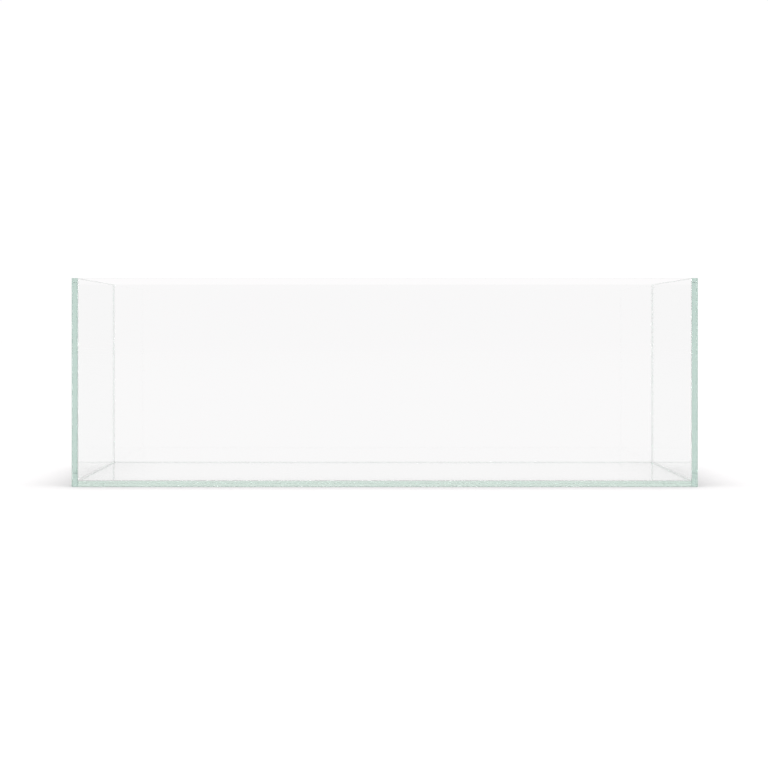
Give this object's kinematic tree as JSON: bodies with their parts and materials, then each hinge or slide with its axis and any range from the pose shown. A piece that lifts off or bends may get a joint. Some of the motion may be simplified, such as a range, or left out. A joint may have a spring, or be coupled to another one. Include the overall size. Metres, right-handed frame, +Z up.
{
  "type": "rimless aquarium",
  "caption": "Low, long rimless glass aquarium, open at the top: clear panes round a base pane, bonded with clear silicone.",
  "frame": {"origin": "centre of the underside, on the surface that the tank stands on", "axes": "+X along the length, to the right seen from the front; the front faces -Y; +Z up"},
  "size_m": [0.9, 0.45, 0.3],
  "materials": {
    "glass": "clear low-iron float glass, polished edges with a fine arris",
    "silicone": "clear cured silicone, tooled smooth"
  },
  "bodies": {
    "root": {"base_pane": "glass", "front_pane": "glass", "back_pane": "glass", "left_pane": "glass", "right_pane": "glass", "bond_front_left": "silicone", "bond_front_right": "silicone", "bond_back_left": "silicone", "bond_back_right": "silicone", "bond_base_front": "silicone", "bond_base_back": "silicone", "bond_base_left": "silicone", "bond_base_right": "silicone", "bead_front_left": "silicone", "bead_front_right": "silicone", "bead_back_left": "silicone", "bead_back_right": "silicone", "bead_base_front": "silicone", "bead_base_back": "silicone", "bead_base_left": "silicone", "bead_base_right": "silicone"}
  },
  "joints": []
}
